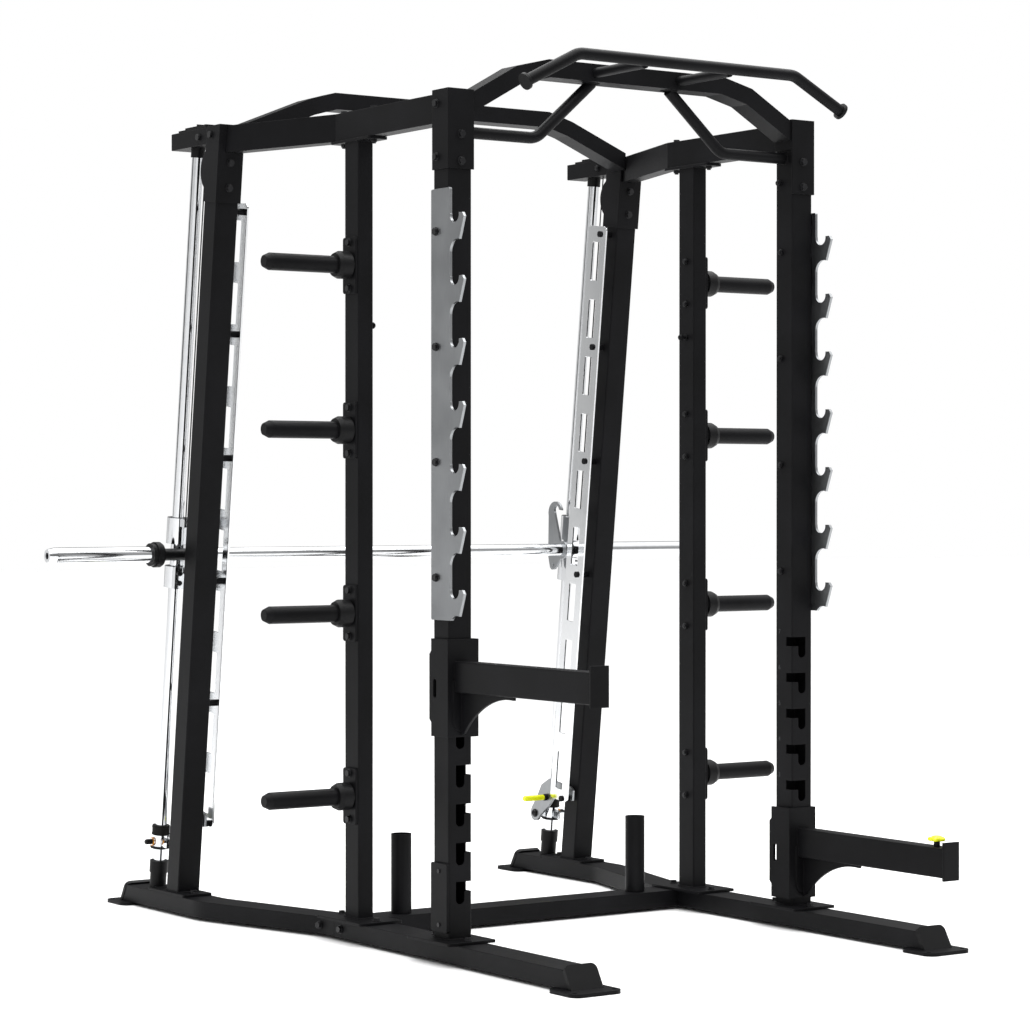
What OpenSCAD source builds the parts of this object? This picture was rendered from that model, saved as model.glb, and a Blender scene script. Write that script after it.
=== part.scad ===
// Smith machine with a half rack: leaning guide rods, counterbalanced bar, plate horns,
// rack hooks, spotter arms and pull-up bars. Millimetres. Front of the rack faces -Y.

/* [Rack] */
// Width and depth of the front uprights
post_w = 75; // [68:1:82]
// Wall of every steel tube
tube_wall = 3; // [2:0.5:4]
// From the middle plane to the centres of the front and middle uprights
rack_x = 608.5; // [580:0.5:625]
// How much farther out the guide rods stand than the front uprights
smith_out = 137.5; // [128:0.5:160]
// Top of the front uprights above the underside of the base runners
post_top = 2378; // [2340:1:2420]
// Width of the middle uprights
mid_w = 50; // [44:1:56]
// From the rack's front face to the centres of the middle uprights
mid_y = 524.5; // [500:0.5:545]
// Height of the top side beams
beam_h = 80; // [70:1:90]
// Width of the top side beams
beam_w = 50; // [44:1:56]

/* [Guide rods] */
// From the rack's front face back to the foot of the guide rods
rod_foot_y = 1500; // [1460:1:1540]
// Forward lean of the guide rods, degrees
lean = 6.65; // [5.5:0.05:7.5]
// From the guide rods to the centres of their uprights
rod_to_post = 161.5; // [155:0.5:175]
// Diameter of the guide rods
rod_d = 35; // [30:1:38]
// Outside diameter of the bearing housings on the carriage
housing_d = 65; // [62:1:70]
// Height of the carriage, over both bearing housings
carriage_h = 216; // [200:1:240]
// Height of the bar on the guide rods as drawn
bar_rest = 1105; // [1080:1:1130]

/* [Bar] */
// Diameter of the weight sleeves
sleeve_d = 50; // [48:0.5:50.5]
// Length of one weight sleeve
sleeve_len = 343; // [300:1:400]
// Diameter of the bar between the carriages
shaft_d = 40; // [32:0.5:41]
// Diameter of the bar's journals in the carriages
journal_d = 37; // [30:0.5:38]
// Width of the collar beside each sleeve
bar_collar_w = 38; // [30:1:46]
// Outside diameter of that collar
bar_collar_d = 78; // [70:1:86]

/* [Base] */
// Width of the base runners
runner_w = 100; // [90:1:110]
// Height of the base runners
runner_h = 50; // [44:1:60]
// Thickness of the foot plates
foot_t = 10; // [6:1:14]
// Width of the foot plates
foot_w = 160; // [140:1:180]
// Length of the foot plates
foot_len = 130; // [110:1:150]
// From the rack's front face to the front edge of the front foot plates
front_reach = 645; // [600:1:700]
// From the foot of the guide rods to the rear edge of the rear foot plates
rear_reach = 200; // [180:1:240]
// Height of the bar holders' tubes
holder_h = 233; // [180:1:280]
// Outside diameter of the bar holders
holder_d = 60; // [56:1:70]

/* [Storage and safety] */
// Diameter of the plate horns
horn_d = 50; // [46:0.5:50.5]
// Length of the plate horns from their backing plates
horn_len = 282.5; // [240:0.5:320]
// Height of the lowest plate horn
horn_low = 409; // [380:1:440]
// Spacing of the three lower plate horns
horn_step = 525; // [500:1:530]
// Spacing of the rack hooks
hook_step = 170.45; // [165:0.5:175]
// Length of the spotter arms from the rack's front face
arm_len = 637; // [560:1:700]
// Height of the spotter arms
arm_h = 84; // [70:1:90]
// Spacing of the spotter slots in the front uprights
slot_step = 106.3; // [104:0.1:108]

/* [Hidden] */
$fn = 48;
eps = 1;
post_r = 4;
plate_t = 8;
base_t = 8;
bracket_t = 5;
running_fit = 0.06;
smith_x = rack_x + smith_out;
bolt_gap = 0.3;
bolt_r = 6;
screw_r = 3;
head_r = 10;
head_h = 7;
washer_r = 12;
washer_t = 2;

// Levels above the underside of the runners, and places behind the rack's front face
base_z = runner_h + base_t;
beam_z = post_top - beam_h - 3;
beam_top = beam_z + beam_h;
bracket_top = post_top + bracket_t;
arch_h = 50;
arch_z = post_top + 122;
crease_y = mid_y + 91.5;
splice_y = mid_y + 56;
runner_front = -front_reach + 55;
runner_rear = rod_foot_y + rear_reach - 53;
foot_front = -front_reach;
foot_rear = rod_foot_y + rear_reach;
// Y of the guide rods' frame at local y and level z
function lean_y(y, z) = rod_foot_y + y / cos(lean) - z * tan(lean);
middle_y = (min(foot_front, -arm_len - plate_t) + foot_rear) / 2;
cross_w = 100;
cap_lean = 30;
cap_t = 12;
cap_rise = 12;
cap_r = 18;

// The guide rods' own leaning frame: y = 0 on the rods' plane, z along the rods
post_y = -rod_to_post;
post_front = post_y - post_w / 2;
post_rear = post_y + post_w / 2;
post_in = smith_x - post_w / 2;
bar_y = -50;
cable_y = -50;
cable_r = 2;
rod_beam_h = 50;
rod_beam_z = post_top - 51;
rod_beam_mid = rod_beam_z + rod_beam_h / 2;
rod_beam_rear = 102;
rod_low = 70;
rod_high = (rod_beam_z - 6) / cos(lean);
rod_top_y = lean_y(0, rod_beam_mid);
sheave_pitch = 18;
sheave_r = 20.5;
sheave_w = 12;
sheave_bore = 5;
rear_sheave_y = cable_y - sheave_pitch;
drop_y = post_y - 6.5;
front_sheave_y = drop_y + sheave_pitch;
weight_w = post_w - 2 * tube_wall - 9;
weight_len = 350;
weight_low = 1195;
catch_x = post_in - 38;
catch_t = 5;
catch_low = 275.5;
catch_high = rod_high - 149.75;
catch_front = post_y - 31.5;
catch_w = 96;
window_step = 188.5;
window_low = catch_low + 99.7;
window_count = 1 + floor((catch_high - window_low - 83) / 188.5);
peg_step = 2 * window_step;
peg_low = catch_low + 7.5;
peg_high = catch_high - 26;
peg_heights = [for (k = [0:floor((peg_high - peg_low + 20) / peg_step)])
    min(peg_low + peg_step * k, peg_high)];
window_h = 126;
window_w = 38;
window_edge = 32;
peg_r = 10;
cup_r = rod_d / 2 + 11.3;
cup_foot_r = rod_d / 2 + 8.2;
top_cup_r = rod_d / 2 + 4;
hub_in = post_in + 4;
hub_out = hub_in + 30;
hub_r = 29;
journal_in = hub_in - 12;
collar_in = smith_x + 80;
sleeve_in = collar_in + bar_collar_w;
sleeve_out = sleeve_in + sleeve_len;
stub_r = 15;
hook_x = journal_in - 14;
hook_t = 8;
stop_r = rod_d / 2 + 7.5;
stop_low = 177;
stop_h = 43;
cushion_h = 30;
cushion_r = stop_r + 2;
latch_y = 17;
latch_z = 196.5;
latch_x = post_in - 8.5;
latch_t = 8;

// Plate horns, rack hooks and spotter slots
horn_high = beam_z - 363;
horn_gap_min = 470;
horn_count = 1 + floor((horn_high - horn_low) / horn_gap_min);
horn_heights = [for (k = [0:horn_count - 1]) k < horn_count - 1 ? horn_low + k * horn_step : horn_high];
horn_in = rack_x + mid_w / 2 + plate_t;
horn_plate_h = 161;
horn_bolt_dz = 66;
hook_plate_low = 931;
hook_plate_high = post_top - 268;
valley_low = hook_plate_low + 59.3;
hook_count = 1 + floor((hook_plate_high - 96 - valley_low) / hook_step);
hook_edge = -17;
slot_top = hook_plate_low - 139.5;
slot_w = 28;
slot_entry = 27;
slot_rise = 34.5;
slot_count = 1 + floor((slot_top - base_z - 90) / slot_step);
arm_w = 50;
spotter_clear = 0.4;

black_coat = "#1b1b1d";
black_plastic = "#141415";
bright = "#d6d8da";
plate_grey = "#9a9c9e";
zinc = "#77797c";
yellow = "#d9e021";

// ---- helpers ------------------------------------------------------------------------------

function unit(v) = v / norm(v);
function left_of(v) = [-v.y, v.x];
function mitre(a, b) = (a + b) / (1 + a * b);
function side_step(p, i) =
    i == 0 ? left_of(unit(p[1] - p[0])) :
    i == len(p) - 1 ? left_of(unit(p[i] - p[i - 1])) :
    mitre(left_of(unit(p[i] - p[i - 1])), left_of(unit(p[i + 1] - p[i])));
function strip(p, w) = concat(
    [for (i = [0:len(p) - 1]) p[i] + side_step(p, i) * w / 2],
    [for (i = [len(p) - 1:-1:0]) p[i] - side_step(p, i) * w / 2]);
function stretched(p, by) = let (n = len(p) - 1) [for (i = [0:n])
    i == 0 ? p[0] - unit(p[1] - p[0]) * by :
    i == n ? p[n] + unit(p[n] - p[n - 1]) * by : p[i]];
function turn(p, i) = let (a = unit(p[i] - p[i - 1]), b = unit(p[i + 1] - p[i]))
    atan2(a.x * b.y - a.y * b.x, a * b);
function tangent_len(p, i, bend) = bend * tan(abs(turn(p, i)) / 2);
// A path whose inner corner i is rounded into a few short steps of radius bend
function eased(p, i, bend, steps = 6) = let (
    t = turn(p, i),
    a = unit(p[i] - p[i - 1]),
    start = p[i] - a * tangent_len(p, i, bend),
    centre = start + left_of(a) * bend * sign(t))
    [for (k = [0:steps]) let (ang = t * k / steps, v = start - centre)
        centre + [v.x * cos(ang) - v.y * sin(ang), v.x * sin(ang) + v.y * cos(ang)]];
function eased_path(p, bend, steps = 6) = concat([p[0]],
    [for (i = [1:len(p) - 2]) each eased(p, i, bend, steps)], [p[len(p) - 1]]);

// From the rack's own frame, front face at y = 0, to the part's frame
module machine() { translate([0, -middle_y, foot_t]) children(); }
// The leaning frame of the guide rods
module leaning() { translate([0, rod_foot_y, 0]) rotate([lean, 0, 0]) children(); }
module on_side(s) { if (s > 0) children(); else mirror([1, 0, 0]) children(); }
module both() { children(); mirror([1, 0, 0]) children(); }
module block(a, b) { translate(a) cube(b - a); }
module rod_x(r, x0, x1) { translate([x0, 0, 0]) rotate([0, 90, 0]) cylinder(r = r, h = x1 - x0); }
module rod_y(r, y0, y1) { translate([0, y0, 0]) rotate([-90, 0, 0]) cylinder(r = r, h = y1 - y0); }
// A plate of thickness t drawn in the y-z plane, its low-x face on x = 0
module side_plate(t) { rotate([90, 0, 90]) linear_extrude(t) children(); }

module rounded_rect(w, d, r) {
    square([w - 2 * r, d], center = true);
    square([w, d - 2 * r], center = true);
    for (sx = [-1, 1], sy = [-1, 1])
        translate([sx * (w / 2 - r), sy * (d / 2 - r)]) circle(r);
}
module post_tube(w, d, h) {
    difference() {
        linear_extrude(h) rounded_rect(w, d, post_r);
        translate([0, 0, -eps])
            linear_extrude(h + 2 * eps) square([w - 2 * tube_wall, d - 2 * tube_wall], center = true);
    }
}
module strip_tube(p, w, h) {
    difference() {
        linear_extrude(h) polygon(strip(p, w));
        translate([0, 0, tube_wall]) linear_extrude(h - 2 * tube_wall)
            polygon(strip(stretched(p, eps), w - 2 * tube_wall));
    }
}
// A square tube drawn along points of the x-z plane, its middle on y = 0
module arch_tube(p, w, d) {
    translate([0, d / 2, 0]) rotate([90, 0, 0]) difference() {
        linear_extrude(d) polygon(strip(p, w));
        translate([0, 0, tube_wall]) linear_extrude(d - 2 * tube_wall)
            polygon(strip(stretched(p, eps), w - 2 * tube_wall));
    }
}
module stick(a, b, r) {
    translate([a.x, 0, a.y]) rotate([0, atan2(b.x - a.x, b.y - a.y), 0])
        cylinder(r = r, h = norm(b - a));
}
// A round bar along points of the x-z plane, with a ball of weld at each bend
module bent_bar(p, r) {
    for (i = [0:len(p) - 2]) stick(p[i], p[i + 1], r);
    for (i = [1:1:len(p) - 2]) translate([p[i].x, 0, p[i].y]) sphere(r + 1.2);
}
// A cable of radius r along points of the y-z plane
module swept_cable(p, r, sides = 8) {
    n = len(p);
    points = [for (i = [0:n - 1]) let (up = side_step(p, i)) for (k = [0:sides - 1])
        let (a = 360 * k / sides) [r * cos(a), p[i].x + up.x * r * sin(a), p[i].y + up.y * r * sin(a)]];
    walls = [for (i = [0:n - 2]) for (k = [0:sides - 1]) let (m = (k + 1) % sides)
        [i * sides + k, i * sides + m, (i + 1) * sides + m, (i + 1) * sides + k]];
    polyhedron(points, concat([[for (k = [sides - 1:-1:0]) k]], walls,
        [[for (k = [0:sides - 1]) (n - 1) * sides + k]]), convexity = 4);
}
// Hexagon bolt with its washer on z = 0, and a nut if it clamps something of thickness grip
module bolt(grip, nut = true) {
    cylinder(r = washer_r, h = washer_t);
    translate([0, 0, washer_t]) cylinder(r = head_r, h = head_h, $fn = 6);
    translate([0, 0, -grip - (nut ? head_h + 4 : 0)])
        cylinder(r = bolt_r, h = grip + (nut ? head_h + 4 : 0) + washer_t + 1);
    if (nut) translate([0, 0, -grip - head_h]) cylinder(r = head_r, h = head_h, $fn = 6);
}
module bolt_hole(grip) {
    translate([0, 0, -grip - eps]) cylinder(r = bolt_r + bolt_gap, h = grip + 2 * eps);
}
module screw_hole(grip) {
    translate([0, 0, -grip - eps]) cylinder(r = screw_r + bolt_gap, h = grip + 2 * eps);
}
module face_x() { rotate([0, 90, 0]) children(); }
module face_front() { rotate([90, 0, 0]) children(); }

// ---- places that pieces share -------------------------------------------------------------

front_base_y = [-38, 122];
mid_base_y = [mid_y - 95, mid_y + 95];
rod_base_y = [rod_foot_y - 236, rod_foot_y - 74];
module base_bolt_places() {
    for (y = front_base_y) translate([rack_x, y, base_z]) children();
    for (y = mid_base_y) translate([rack_x, y, base_z]) children();
    for (y = rod_base_y) translate([smith_x, y, base_z]) children();
}
module splice_bolt_places() {
    translate([rack_x + runner_w / 2, splice_y - 35, runner_h / 2]) face_x() children();
    // the rear one sits on the hollow side of the bend
    translate([rack_x + runner_bend, bend_start, runner_h / 2]) rotate([0, 0, -splice_turn])
        translate([runner_w / 2 + 0.6 - runner_bend, 0, 0]) face_x() children();
}
bend_a = mid_y + 126;
bend_b = rod_foot_y - 350;
runner_bend = 240;
bend_start = bend_a - runner_bend * tan(atan(smith_out / (bend_b - bend_a)) / 2);
splice_turn = asin((splice_y + 75 - bend_start) / (runner_bend - runner_w / 2));
module horn_places() {
    for (z = horn_heights) translate([horn_in, mid_y, z]) children();
}
module horn_bolt_places() {
    horn_places() for (s = [-1, 1]) translate([0, 0, s * horn_bolt_dz]) face_x() children();
}
hook_bolt_inset = 116;
hook_bolt_heights = [for (k = [0:3]) hook_plate_low + hook_bolt_inset
    + k * (hook_plate_high - hook_plate_low - 2 * hook_bolt_inset) / 3];
module hook_bolt_places() {
    for (z = hook_bolt_heights)
        translate([rack_x + post_w / 2 + plate_t, post_w - 25, z]) face_x() children();
}
guard_bolt_heights = [97, 244];
module guard_bolt_places() {
    for (z = guard_bolt_heights)
        translate([rack_x + post_w / 2 + plate_t, post_w / 2, z]) face_x() children();
}
module front_bracket_bolts() {
    for (dz = [119, 193])
        translate([rack_x, -bracket_t, post_top - dz]) face_front() children();
}
module beam_end_bolts() {
    for (z = [beam_top - 30, post_top - 179])
        translate([rack_x + post_w / 2 + bracket_t, post_w - 22, z]) face_x() children();
}
module mid_top_bolts() {
    for (s = [-1, 1]) translate([rack_x, mid_y + s * 81, beam_top]) children();
}
module rod_bracket_bolts() {
    for (z = [rod_high - 106.7, rod_high - 31.7]) leaning()
        translate([smith_x, post_front - bracket_t, z]) face_front() children();
}
module sheave_place(y) {
    leaning() translate([smith_x, y, (rod_beam_mid - y * sin(lean)) / cos(lean)]) children();
}
module rod_top_place() {
    // high enough for the leaning washer to clear the level pad
    leaning() translate([smith_x, 0, (rod_beam_z + rod_beam_h + 12) / cos(lean) + washer_r * tan(lean) + 0.05])
        children();
}

// ---- base ---------------------------------------------------------------------------------

runner_path = eased_path([[rack_x, runner_front - 40], [rack_x, bend_a],
    [smith_x, bend_b], [smith_x, runner_rear + 40]], runner_bend);
module runner_ends() {
    translate([0, runner_front + cap_t, 0]) rotate([-cap_lean, 0, 0])
        block([0, -200, -100], [1000, 0, 200]);
    translate([0, runner_rear - cap_t, 0]) rotate([cap_lean, 0, 0])
        block([0, 0, -100], [1000, 200, 200]);
}
module runner() {
    difference() {
        strip_tube(runner_path, runner_w, runner_h);
        runner_ends();
        base_bolt_places() bolt_hole(base_t + runner_h);
        splice_bolt_places() bolt_hole(runner_w + 4);
    }
}
seam = 0.8;
module front_runners() {
    color(black_coat) machine() both() difference() {
        runner();
        block([0, splice_y - seam / 2, -eps], [1000, foot_rear + 100, runner_h + eps]);
    }
}
module rear_runners() {
    color(black_coat) machine() both() difference() {
        runner();
        block([0, foot_front - 100, -eps], [1000, splice_y + seam / 2, runner_h + eps]);
    }
}
module cross_member() {
    half = rack_x - runner_w / 2;
    y = mid_y + 57.5;
    color(black_coat) machine() difference() {
        block([-half, y - cross_w / 2, 0], [half, y + cross_w / 2, runner_h]);
        block([-half - eps, y - cross_w / 2 + tube_wall, tube_wall],
            [half + eps, y + cross_w / 2 - tube_wall, runner_h - tube_wall]);
    }
}
foot_hole_r = 7;
module foot_plate() {
    difference() {
        linear_extrude(foot_t) rounded_rect(foot_w, foot_len, 28);
        for (s = [-1, 1]) translate([s * (foot_w / 2 - 17), -foot_len / 2 + 24, -eps])
            cylinder(r = foot_hole_r, h = foot_t + 2 * eps);
    }
}
module foot_plates() {
    color(black_coat) machine() both() {
        translate([rack_x, foot_front + foot_len / 2, -foot_t]) foot_plate();
        translate([smith_x, foot_rear - foot_len / 2, -foot_t]) mirror([0, 1, 0]) foot_plate();
    }
}
module foot_cap() {
    slope_h = (runner_h + cap_rise) / cos(cap_lean);
    intersection() {
        rotate([-cap_lean, 0, 0]) translate([-runner_w / 2 - 1.5, 0, -20])
            rotate([90, 0, 0]) mirror([0, 0, 1]) linear_extrude(cap_t) {
                square([runner_w + 3, slope_h + 20 - cap_r]);
                translate([cap_r, 0]) square([runner_w + 3 - 2 * cap_r, slope_h + 20]);
                for (x = [cap_r, runner_w + 3 - cap_r])
                    translate([x, slope_h + 20 - cap_r]) circle(cap_r);
            }
        translate([-200, -200, 0]) cube([400, 400, 200]);
    }
}
module foot_caps() {
    inset = cap_t / cos(cap_lean);
    color(black_plastic) machine() both() {
        translate([rack_x, runner_front + cap_t - inset, 0]) foot_cap();
        translate([smith_x, runner_rear - cap_t + inset, 0]) mirror([0, 1, 0]) foot_cap();
    }
}
holder_x = rack_x - 180.5;
module bar_holders() {
    color(black_coat) machine() both() translate([holder_x, mid_y + 57.5, runner_h]) difference() {
        cylinder(d = holder_d, h = holder_h);
        translate([0, 0, 4]) cylinder(d = holder_d - 2 * tube_wall, h = holder_h);
    }
}

// ---- uprights -----------------------------------------------------------------------------

module base_plate(x, y0, y1, w) {
    translate([x, (y0 + y1) / 2, runner_h]) linear_extrude(base_t) rounded_rect(w, y1 - y0, 6);
}
module gusset(x, y, dy) {
    translate([x - 3, y, base_z]) side_plate(6) polygon([[0, 0], [dy, 0], [0, 45]]);
}
module spotter_slots() {
    for (k = [0:slot_count - 1]) {
        low = slot_top - slot_step * k;
        block([rack_x - slot_w / 2, -eps, low + slot_w / 2],
            [rack_x + slot_w / 2, tube_wall + eps, low + slot_rise + eps]);
        translate([rack_x, 0, low + slot_w / 2]) rod_y(slot_w / 2, -eps, tube_wall + eps);
        block([rack_x - post_w / 2 - eps, -eps, low + slot_rise],
            [rack_x + slot_w / 2, slot_w, low + slot_rise + slot_entry]);
    }
}
module front_upright(s) {
    color(black_coat) machine() on_side(s) difference() {
        union() {
            translate([rack_x, post_w / 2, base_z]) post_tube(post_w, post_w, post_top - base_z);
            base_plate(rack_x, -60, 150, 157);
            gusset(rack_x, post_w, 24);
        }
        spotter_slots();
        base_bolt_places() bolt_hole(base_t + runner_h);
        hook_bolt_places() bolt_hole(post_w + plate_t);
        if (s < 0) guard_bolt_places() screw_hole(30);
        front_bracket_bolts() bolt_hole(30);
        beam_end_bolts() bolt_hole(post_w + 2 * bracket_t);
    }
}
module front_upright_left() { front_upright(-1); }
module front_upright_right() { front_upright(1); }
module mid_uprights() {
    color(black_coat) machine() both() difference() {
        union() {
            translate([rack_x, mid_y, base_z]) post_tube(mid_w, post_w, beam_z - plate_t - base_z);
            base_plate(rack_x, mid_y - 120, mid_y + 120, 143);
            translate([rack_x, mid_y, beam_z - plate_t])
                linear_extrude(plate_t) rounded_rect(mid_w + 14, 210, 6);
            gusset(rack_x, mid_y + post_w / 2, 24);
        }
        base_bolt_places() bolt_hole(base_t + runner_h);
        horn_bolt_places() bolt_hole(mid_w + plate_t);
        mid_top_bolts() bolt_hole(beam_h + plate_t);
        translate([0, mid_y, band_peg_z]) rod_x(5.3, rack_x - mid_w / 2 - eps, rack_x - mid_w / 2 + 4);
    }
}
module rod_upright(s) {
    color(black_coat) machine() on_side(s) difference() {
        union() {
            difference() {
                leaning() translate([smith_x, post_y, -20]) post_tube(post_w, post_w, post_top + 100);
                block([0, 0, -100], [1500, 3000, base_z]);
                block([0, 0, post_top], [1500, 3000, post_top + 200]);
            }
            base_plate(smith_x, rod_foot_y - 265, rod_foot_y - cup_foot_r - 9.3, runner_w);
        }
        base_bolt_places() bolt_hole(base_t + runner_h);
        rod_bracket_bolts() bolt_hole(30);
        sheave_place(front_sheave_y) rod_x(sheave_bore + 0.2, -100, 100);
        // window for the cable between the two sheaves
        block([smith_x - 9, rod_top_y - 146, rod_beam_z + tube_wall],
            [smith_x + 9, rod_top_y - 111, rod_beam_z + rod_beam_h - tube_wall]);
        for (w = peg_heights) leaning() translate([0, post_y, w])
            rod_x(bolt_r + bolt_gap, post_in - eps, post_in + 12);
    }
}
module rod_upright_left() { rod_upright(-1); }
module rod_upright_right() { rod_upright(1); }

// ---- top ----------------------------------------------------------------------------------

module leaning_face_cut() {
    leaning() block([0, post_front - bracket_t, rod_high - 800], [1500, 800, rod_high + 700]);
}
beam_end_y = lean_y(post_front, beam_z + beam_h / 2) + 20.6;
beam_path = [[rack_x, post_w], [rack_x, crease_y], [smith_x, beam_end_y], [smith_x + 30, beam_end_y + 95]];
module top_beams() {
    color(black_coat) machine() both() difference() {
        translate([0, 0, beam_z]) strip_tube(beam_path, beam_w, beam_h);
        leaning_face_cut();
        mid_top_bolts() bolt_hole(beam_h + plate_t);
    }
}
rear_arch_y = lean_y(post_y, post_top - 45) - 30.4;
module rear_crossbar() {
    top = arch_z - arch_h / 2;
    half = [[0, top], [post_in - 312.5, top - 2], [post_in - 227.5, arch_z - 51], [post_in - bracket_t, post_top - 19]];
    path = concat([for (i = [3:-1:1]) [-half[i].x, half[i].y]], [for (i = [1:3]) half[i]]);
    color(black_coat) machine() difference() {
        translate([0, rear_arch_y, 0]) arch_tube(stretched(path, 20), arch_h, post_w);
        both() translate([0, 0, post_top - 300]) linear_extrude(600) polygon(strip(beam_path, beam_w + 0.1));
        both() block([post_in - bracket_t, 0, post_top - 300], [1200, 2500, post_top + 300]);
    }
}
module front_crossbeam() {
    top = arch_z - 12 - arch_h / 2;
    end_x = rack_x - post_w / 2 - bracket_t;
    half = [[0, 0], [rack_x - 301.5, top], [rack_x - 199.5, arch_z - 62], [end_x, post_top - 29]];
    path = concat([for (i = [3:-1:1]) [-half[i].x, half[i].y]], [for (i = [1:3]) half[i]]);
    color(black_coat) machine() difference() {
        translate([0, post_w / 2, 0]) arch_tube(stretched(path, 30), arch_h, post_w);
        both() block([end_x, -100, post_top - 300], [1200, 300, post_top + 300]);
    }
}
pull_y = -235;
pull_half = rack_x - 64.5;
pull_r = 16.5;
pull_z = arch_z - 30;
grip_r = 16.5;
grip_low = arch_z - 230;
arch_front_top = arch_z - 12;
module pull_up_bar() {
    path = [[-pull_half, pull_z - 84], [165 - pull_half, pull_z], [pull_half - 165, pull_z], [pull_half, pull_z - 84]];
    color(black_coat) machine() {
        translate([0, pull_y, 0]) bent_bar(path, pull_r);
        both() translate([149, 0, pull_z - 8]) rod_y(14, pull_y, 0);
    }
}
module bar_end_caps() {
    tilt = atan2(165, -84);
    color(black_plastic) machine() both() translate([pull_half, pull_y, pull_z - 84]) rotate([0, tilt, 0]) {
        cylinder(r = pull_r, h = 8);
        translate([0, 0, 8]) cylinder(r = 24, h = 8);
    }
}
module inner_grips() {
    wall_x = rack_x - post_w / 2;
    color(black_coat) machine() both() difference() {
        translate([0, post_w / 2, 0])
            bent_bar([[wall_x, grip_low], [rack_x - 278.5, grip_low], [rack_x - 486.5, grip_low + 182]], grip_r);
        block([0, -100, arch_front_top - arch_h], [400, 200, arch_z + 100]);
    }
}
module rod_beams() {
    color(black_coat) machine() both() difference() {
        union() {
            block([post_in, rod_foot_y - 700, rod_beam_z],
                [smith_x + post_w / 2, rod_top_y + rod_beam_rear, rod_beam_z + rod_beam_h]);
            block([post_in + 3, rod_top_y - 106, rod_beam_z + rod_beam_h],
                [smith_x + post_w / 2 - 3, rod_top_y + 64, rod_beam_z + rod_beam_h + 6]);
            block([post_in + 8, rod_top_y - 98, rod_beam_z + rod_beam_h + 6],
                [smith_x + post_w / 2 - 8, rod_top_y + 32, rod_beam_z + rod_beam_h + 12]);
        }
        block([post_in + tube_wall, rod_foot_y - 800, rod_beam_z + tube_wall],
            [smith_x + post_w / 2 - tube_wall, rod_top_y + rod_beam_rear - tube_wall,
                rod_beam_z + rod_beam_h - tube_wall]);
        leaning() block([0, -1200, rod_high - 800], [1500, post_rear, rod_high + 700]);
        sheave_place(rear_sheave_y) rod_x(sheave_bore + 0.2, -100, 100);
        leaning() translate([smith_x, cable_y, rod_beam_z - 60]) cylinder(r = 5, h = 100);
        rod_top_place() bolt_hole(120);
    }
}
module top_brackets() {
    color(black_coat) machine() both() {
        difference() {
            block([rack_x - post_w / 2 - bracket_t, -bracket_t, post_top - 214],
                [rack_x + post_w / 2 + bracket_t, post_w, bracket_top]);
            block([rack_x - post_w / 2, 0, post_top - 300], [rack_x + post_w / 2, post_w + eps, post_top]);
            // the inner cheek stops short of the grip bar
            block([rack_x - post_w / 2 - bracket_t - eps, -eps, post_top - 300],
                [rack_x - post_w / 2 + eps, post_w + eps, post_top - 84]);
            front_bracket_bolts() bolt_hole(30);
            beam_end_bolts() bolt_hole(post_w + 2 * bracket_t);
        }
        difference() {
            union() {
                leaning() translate([0, 0, rod_high - 151.7]) block([post_in - bracket_t, post_front - bracket_t, 0],
                    [smith_x + post_w / 2 + bracket_t, post_rear, 300]);
                leaning() translate([0, post_rear - 45, rod_high - 55.7])
                    rod_x(70, post_in - bracket_t, smith_x + post_w / 2 + bracket_t);
            }
            leaning() block([post_in, post_front, rod_high - 340],
                [smith_x + post_w / 2, post_rear + 200, (post_top + 30) / cos(lean)]);
            leaning() block([post_in - 100, post_front - 200, rod_high - 340],
                [smith_x + 200, post_front - bracket_t, rod_high + 360]);
            block([0, 0, post_top], [1500, 3000, post_top + 400]);
            rod_bracket_bolts() bolt_hole(30);
            sheave_place(front_sheave_y) rod_x(sheave_bore + 0.2, -100, 100);
        }
    }
}

// ---- guide rods and catches ---------------------------------------------------------------

module guide_rods() {
    color(bright) machine() both() leaning() translate([smith_x, 0, rod_low])
        cylinder(d = rod_d, h = rod_high - rod_low);
}
module rod_cups() {
    color(black_plastic) machine() both() difference() {
        leaning() translate([smith_x, 0, 0]) {
            cylinder(r = cup_foot_r, h = 101);
            translate([0, 0, 101]) cylinder(r = cup_r, h = 37);
            translate([0, 0, rod_high - 21.7]) cylinder(r = top_cup_r, h = 60);
        }
        leaning() translate([smith_x, 0, rod_low])
            cylinder(r = rod_d / 2 + running_fit, h = rod_high - rod_low);
        block([0, 0, -100], [1500, 3000, runner_h]);
        block([0, 0, rod_beam_z], [1500, 3000, rod_beam_z + 300]);
        rod_top_place() bolt_hole(120);
    }
}
module catch_plates() {
    color(plate_grey) machine() both() leaning() translate([catch_x - catch_t / 2, 0, 0])
        side_plate(catch_t) difference() {
            translate([catch_front + catch_w / 2, (catch_low + catch_high) / 2])
                rounded_rect(catch_w, catch_high - catch_low, 14);
            for (k = [0:window_count - 1]) translate([catch_front + window_edge + window_w / 2,
                window_low + window_step * k]) rounded_rect(window_w, window_h, 5);
            for (w = peg_heights) translate([post_y, w]) circle(bolt_r + bolt_gap);
        }
}
module catch_pegs() {
    color(black_coat) machine() both() for (w = peg_heights) leaning() translate([0, post_y, w]) {
        rod_x(peg_r, catch_x + catch_t / 2, post_in);
        rod_x(bolt_r, catch_x - catch_t / 2 - 1, post_in + 6);
        rod_x(head_r, catch_x - catch_t / 2 - 5, catch_x - catch_t / 2);
    }
}

// ---- rack hooks, horns and small fittings -------------------------------------------------

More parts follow.
